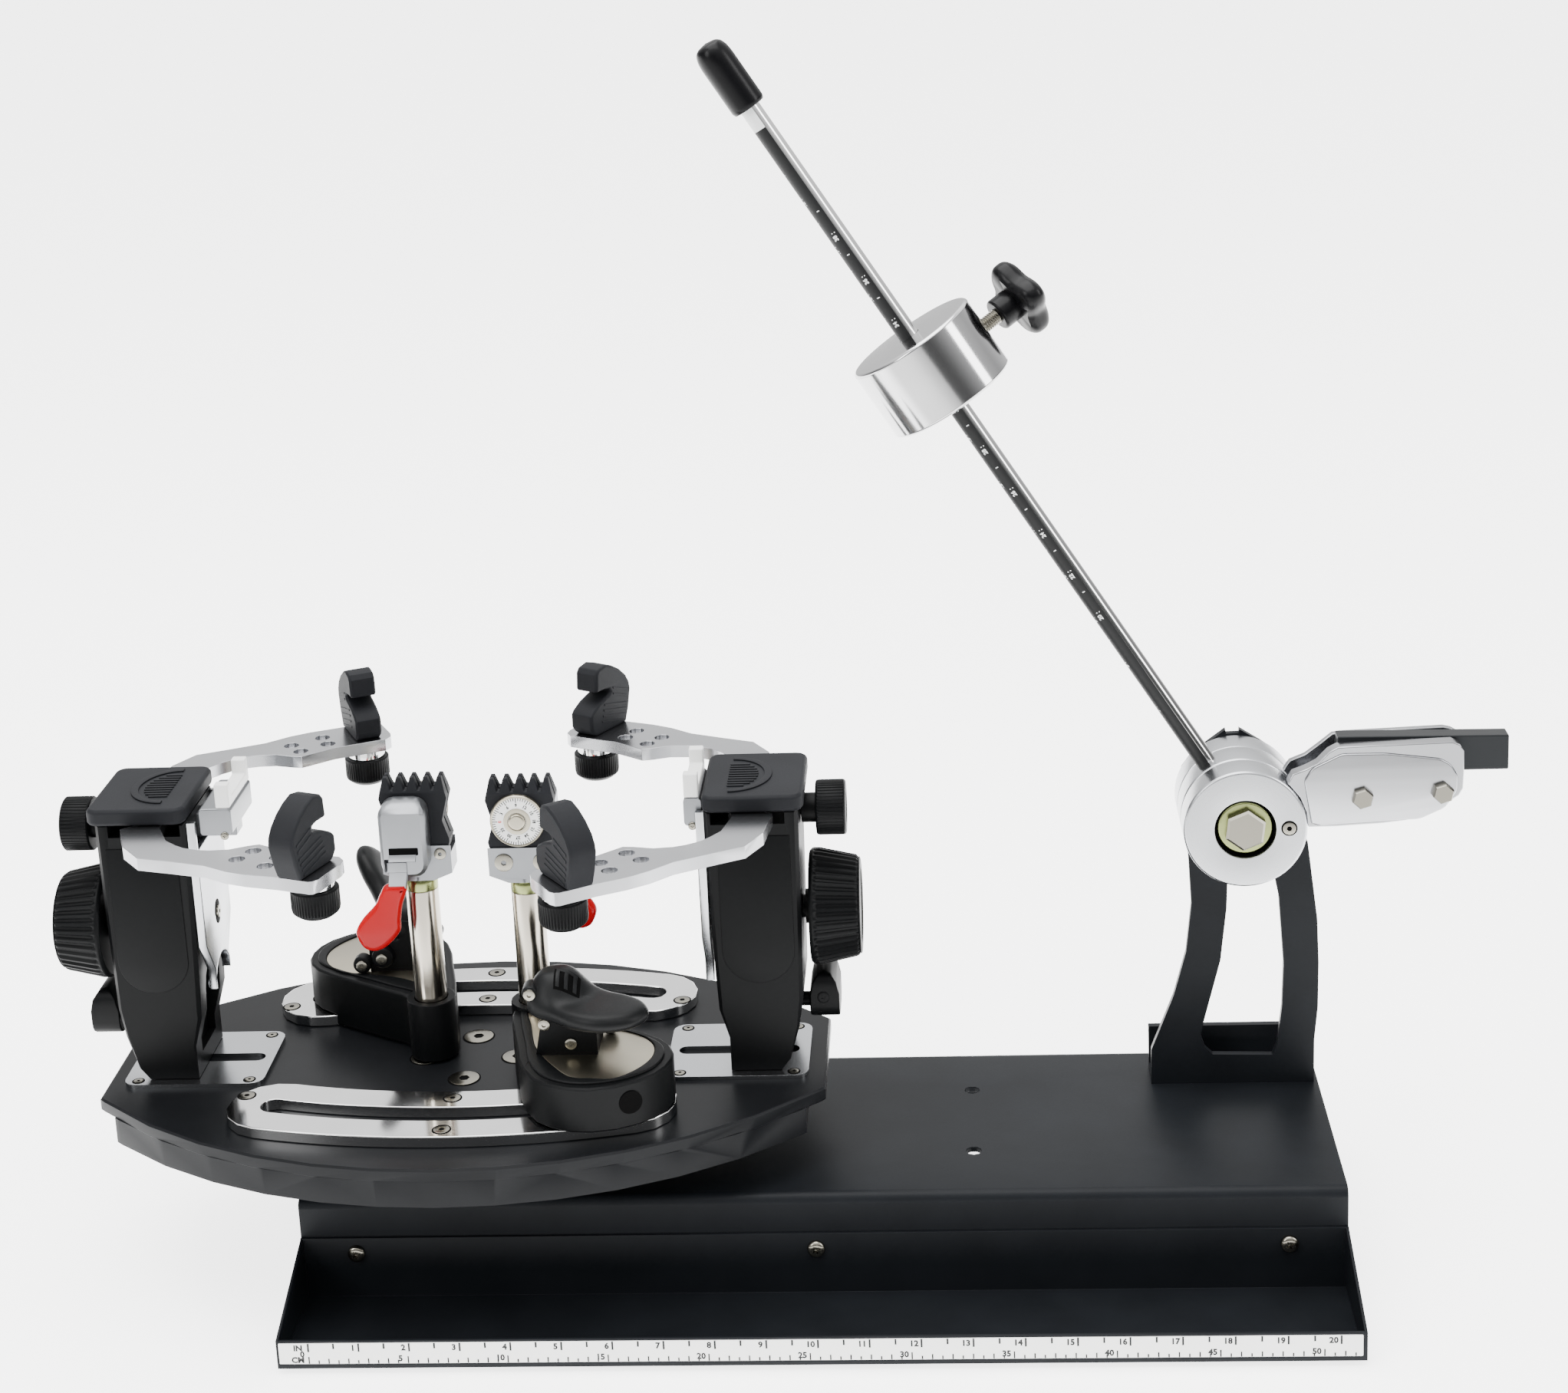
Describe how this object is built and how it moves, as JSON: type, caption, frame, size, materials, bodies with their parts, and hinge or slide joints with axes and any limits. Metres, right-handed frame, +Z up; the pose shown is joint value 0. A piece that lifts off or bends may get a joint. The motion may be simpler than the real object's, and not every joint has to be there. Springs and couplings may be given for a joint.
{
  "type": "racket stringing machine",
  "caption": "Tabletop racket stringing machine: turntable with padded frame arms and sliding string clamps, and a drop-weight tension rod on a bracket.",
  "frame": {"origin": "middle of the underside of the whole machine at rest, on the bench", "axes": "+X from the turntable towards the tension head, +Y away from the tool tray, +Z up"},
  "size_m": [0.7546, 0.2642, 0.6361],
  "materials": {
    "black_powder": "satin black powder coat",
    "black_plastic": "moulded nylon",
    "dark_plastic": "moulded dark grey nylon",
    "chrome": "polished",
    "satin_steel": "satin",
    "cast_grey": "painted silver grey",
    "white_plastic": "white",
    "red_vinyl": "dipped vinyl",
    "rubber": "black"
  },
  "bodies": {
    "base": {"base_channel": "black_powder", "tool_tray": "black_powder", "foot_left": "rubber", "foot_right": "rubber", "spindle": "satin_steel", "tension_bracket": "black_powder", "pivot_bolt": "satin_steel"},
    "turntable": {"turntable": "black_plastic", "rail_back": "chrome", "rail_front": "chrome", "slide_plate_left": "satin_steel", "slide_plate_right": "satin_steel"},
    "tower_left": {"tower_left": "black_plastic", "cap_left": "dark_plastic"},
    "big_knob_left": {"big_knob_left": "black_plastic"},
    "small_knob_left": {"small_knob_left": "black_plastic"},
    "support_left": {"support_left": "cast_grey", "yoke_left": "white_plastic"},
    "lock_lever_left": {"lock_lever_left": "black_plastic"},
    "arm_lf": {"arm_lf": "satin_steel"},
    "hook_lf": {"hook_lf": "dark_plastic"},
    "hook_knob_lf": {"hook_knob_lf": "black_plastic"},
    "arm_lb": {"arm_lb": "satin_steel"},
    "hook_lb": {"hook_lb": "dark_plastic"},
    "hook_knob_lb": {"hook_knob_lb": "black_plastic"},
    "tower_right": {"tower_right": "black_plastic", "cap_right": "dark_plastic"},
    "big_knob_right": {"big_knob_right": "black_plastic"},
    "small_knob_right": {"small_knob_right": "black_plastic"},
    "support_right": {"support_right": "cast_grey", "yoke_right": "white_plastic"},
    "lock_lever_right": {"lock_lever_right": "black_plastic"},
    "arm_rf": {"arm_rf": "satin_steel"},
    "hook_rf": {"hook_rf": "dark_plastic"},
    "hook_knob_rf": {"hook_knob_rf": "black_plastic"},
    "arm_rb": {"arm_rb": "satin_steel"},
    "hook_rb": {"hook_rb": "dark_plastic"},
    "hook_knob_rb": {"hook_knob_rb": "black_plastic"},
    "clamp_base_left": {"clamp_base_left": "black_plastic"},
    "cam_lever_left": {"cam_lever_left": "black_plastic"},
    "clamp_left": {"clamp_post_left": "chrome", "clamp_head_left": "cast_grey", "clamp_jaw_left": "black_plastic"},
    "clamp_lever_left": {"clamp_lever_left": "red_vinyl"},
    "clamp_dial_left": {"clamp_dial_left": "white_plastic"},
    "clamp_base_right": {"clamp_base_right": "black_plastic"},
    "cam_lever_right": {"cam_lever_right": "black_plastic"},
    "clamp_right": {"clamp_post_right": "chrome", "clamp_head_right": "cast_grey", "clamp_jaw_right": "black_plastic"},
    "clamp_lever_right": {"clamp_lever_right": "red_vinyl"},
    "clamp_dial_right": {"clamp_dial_right": "white_plastic"},
    "rod": {"drum_rear": "cast_grey", "tension_rod": "chrome", "rod_cap": "rubber"},
    "weight": {"weight": "chrome"},
    "star_knob": {"star_knob": "black_plastic"},
    "gripper": {"drum_front": "cast_grey", "gripper": "cast_grey"},
    "gripper_jaw": {"gripper_jaw": "dark_plastic"}
  },
  "joints": [
    {"name": "turntable_spin", "type": "hinge", "parent": "base", "child": "turntable", "pos_m": [-0.16539, 0.00595, 0.1034], "axis": [0, 0, 1], "continuous": true},
    {"name": "tower_left_slide", "type": "slide", "parent": "turntable", "child": "tower_left", "axis": [-1, 0, 0], "range_m": [-0.026, 0.005]},
    {"name": "big_knob_left_turn", "type": "hinge", "parent": "tower_left", "child": "big_knob_left", "pos_m": [-0.34789, 0.00595, 0.187], "axis": [-1, 0, 0], "range_deg": [-360, 360]},
    {"name": "small_knob_left_turn", "type": "hinge", "parent": "tower_left", "child": "small_knob_left", "pos_m": [-0.34789, 0.00595, 0.2419], "axis": [-1, 0, 0], "range_deg": [-1446, 760]},
    {"name": "support_left_slide", "type": "slide", "parent": "tower_left", "child": "support_left", "axis": [-1, 0, 0], "range_m": [-0.008, 0.0042]},
    {"name": "lock_lever_left_turn", "type": "hinge", "parent": "tower_left", "child": "lock_lever_left", "pos_m": [-0.34789, 0.00595, 0.1344], "axis": [-1, 0, 0], "range_deg": [-20, 20]},
    {"name": "arm_lf_swing", "type": "hinge", "parent": "tower_left", "child": "arm_lf", "pos_m": [-0.32139, -0.01105, 0.2484], "axis": [0, 0, -1], "range_deg": [-11, 11]},
    {"name": "hook_lf_turn", "type": "hinge", "parent": "arm_lf", "child": "hook_lf", "pos_m": [-0.22002, -0.08072, 0.2515], "axis": [0, 0, 1], "range_deg": [-25, 25]},
    {"name": "hook_knob_lf_turn", "type": "hinge", "parent": "hook_lf", "child": "hook_knob_lf", "pos_m": [-0.22002, -0.08072, 0.2334], "axis": [0, 0, 1], "continuous": true},
    {"name": "arm_lb_swing", "type": "hinge", "parent": "tower_left", "child": "arm_lb", "pos_m": [-0.32139, 0.02295, 0.2484], "axis": [0, 0, 1], "range_deg": [-11, 11]},
    {"name": "hook_lb_turn", "type": "hinge", "parent": "arm_lb", "child": "hook_lb", "pos_m": [-0.2307, 0.10605, 0.2515], "axis": [0, 0, 1], "range_deg": [-25, 25]},
    {"name": "hook_knob_lb_turn", "type": "hinge", "parent": "hook_lb", "child": "hook_knob_lb", "pos_m": [-0.2307, 0.10605, 0.2334], "axis": [0, 0, 1], "continuous": true},
    {"name": "tower_right_slide", "type": "slide", "parent": "turntable", "child": "tower_right", "axis": [1, 0, 0], "range_m": [-0.026, 0.005]},
    {"name": "big_knob_right_turn", "type": "hinge", "parent": "tower_right", "child": "big_knob_right", "pos_m": [0.01711, 0.00595, 0.187], "axis": [1, 0, 0], "range_deg": [-360, 360]},
    {"name": "small_knob_right_turn", "type": "hinge", "parent": "tower_right", "child": "small_knob_right", "pos_m": [0.01711, 0.00595, 0.2419], "axis": [1, 0, 0], "range_deg": [-1806, 55]},
    {"name": "support_right_slide", "type": "slide", "parent": "tower_right", "child": "support_right", "axis": [1, 0, 0], "range_m": [-0.01, 0.0003]},
    {"name": "lock_lever_right_turn", "type": "hinge", "parent": "tower_right", "child": "lock_lever_right", "pos_m": [0.01711, 0.00595, 0.1344], "axis": [1, 0, 0], "range_deg": [-20, 20]},
    {"name": "arm_rf_swing", "type": "hinge", "parent": "tower_right", "child": "arm_rf", "pos_m": [-0.00939, -0.01105, 0.2484], "axis": [0, 0, 1], "range_deg": [-11, 11]},
    {"name": "hook_rf_turn", "type": "hinge", "parent": "arm_rf", "child": "hook_rf", "pos_m": [-0.0939, -0.10042, 0.2515], "axis": [0, 0, 1], "range_deg": [-25, 25]},
    {"name": "hook_knob_rf_turn", "type": "hinge", "parent": "hook_rf", "child": "hook_knob_rf", "pos_m": [-0.0939, -0.10042, 0.2334], "axis": [0, 0, 1], "continuous": true},
    {"name": "arm_rb_swing", "type": "hinge", "parent": "tower_right", "child": "arm_rb", "pos_m": [-0.00939, 0.02295, 0.2484], "axis": [0, 0, -1], "range_deg": [-11, 11]},
    {"name": "hook_rb_turn", "type": "hinge", "parent": "arm_rb", "child": "hook_rb", "pos_m": [-0.10137, 0.10461, 0.2515], "axis": [0, 0, 1], "range_deg": [-25, 25]},
    {"name": "hook_knob_rb_turn", "type": "hinge", "parent": "hook_rb", "child": "hook_knob_rb", "pos_m": [-0.10137, 0.10461, 0.2334], "axis": [0, 0, 1], "continuous": true},
    {"name": "clamp_base_left_travel", "type": "hinge", "parent": "turntable", "child": "clamp_base_left", "pos_m": [-0.16539, -0.28385, 0.1034], "axis": [0, 0, -1], "range_deg": [-4, 3.2]},
    {"name": "cam_lever_left_turn", "type": "hinge", "parent": "clamp_base_left", "child": "cam_lever_left", "pos_m": [-0.21139, 0.06022, 0.1584], "axis": [0, 1, 0], "range_deg": [-56, 18]},
    {"name": "clamp_left_turn", "type": "hinge", "parent": "clamp_base_left", "child": "clamp_left", "pos_m": [-0.18539, 0.01022, 0.1634], "axis": [0, 0, 1], "continuous": true},
    {"name": "clamp_lever_left_turn", "type": "hinge", "parent": "clamp_left", "child": "clamp_lever_left", "pos_m": [-0.18539, -0.00468, 0.2204], "axis": [-1, 0, 0], "range_deg": [0, 75]},
    {"name": "clamp_dial_left_turn", "type": "hinge", "parent": "clamp_left", "child": "clamp_dial_left", "pos_m": [-0.18409, 0.01922, 0.2419], "axis": [0, 1, 0], "continuous": true},
    {"name": "clamp_base_right_travel", "type": "hinge", "parent": "turntable", "child": "clamp_base_right", "pos_m": [-0.16539, 0.29575, 0.1034], "axis": [0, 0, 1], "range_deg": [-3.2, 1.5]},
    {"name": "cam_lever_right_turn", "type": "hinge", "parent": "clamp_base_right", "child": "cam_lever_right", "pos_m": [-0.10239, -0.04518, 0.1584], "axis": [0, -1, 0], "range_deg": [0, 68]},
    {"name": "clamp_right_turn", "type": "hinge", "parent": "clamp_base_right", "child": "clamp_right", "pos_m": [-0.12839, 0.00482, 0.1634], "axis": [0, 0, 1], "continuous": true},
    {"name": "clamp_lever_right_turn", "type": "hinge", "parent": "clamp_right", "child": "clamp_lever_right", "pos_m": [-0.12839, 0.01972, 0.2204], "axis": [1, 0, 0], "range_deg": [0, 75]},
    {"name": "clamp_dial_right_turn", "type": "hinge", "parent": "clamp_right", "child": "clamp_dial_right", "pos_m": [-0.12969, -0.00418, 0.2419], "axis": [0, 1, 0], "continuous": true},
    {"name": "rod_swing", "type": "hinge", "parent": "base", "child": "rod", "pos_m": [0.24401, 0.0226, 0.2287], "axis": [0, 1, 0], "range_deg": [0, 124]},
    {"name": "weight_slide", "type": "slide", "parent": "rod", "child": "weight", "axis": [-0.5358, 0, 0.8443], "range_m": [-0.2, 0.13]},
    {"name": "star_knob_turn", "type": "hinge", "parent": "weight", "child": "star_knob", "pos_m": [0.12524, 0.0412, 0.49028], "axis": [0.7652, 0.4226, 0.4856], "continuous": true},
    {"name": "gripper_turn", "type": "hinge", "parent": "rod", "child": "gripper", "pos_m": [0.24401, 0.0041, 0.2287], "axis": [0, -1, 0], "range_deg": [-80, 50]},
    {"name": "gripper_jaw_slide", "type": "slide", "parent": "gripper", "child": "gripper_jaw", "axis": [1, 0, 0], "range_m": [-0.004, 0.008]}
  ],
  "couplings": [
    {"joint": "small_knob_left_turn", "follows": "support_left_slide", "rad_per_m": 3141.6},
    {"joint": "arm_lf_swing", "follows": "big_knob_left_turn", "ratio": 0.03},
    {"joint": "arm_lb_swing", "follows": "big_knob_left_turn", "ratio": 0.03},
    {"joint": "small_knob_right_turn", "follows": "support_right_slide", "rad_per_m": 3141.6},
    {"joint": "arm_rf_swing", "follows": "big_knob_right_turn", "ratio": 0.03},
    {"joint": "arm_rb_swing", "follows": "big_knob_right_turn", "ratio": 0.03}
  ]
}
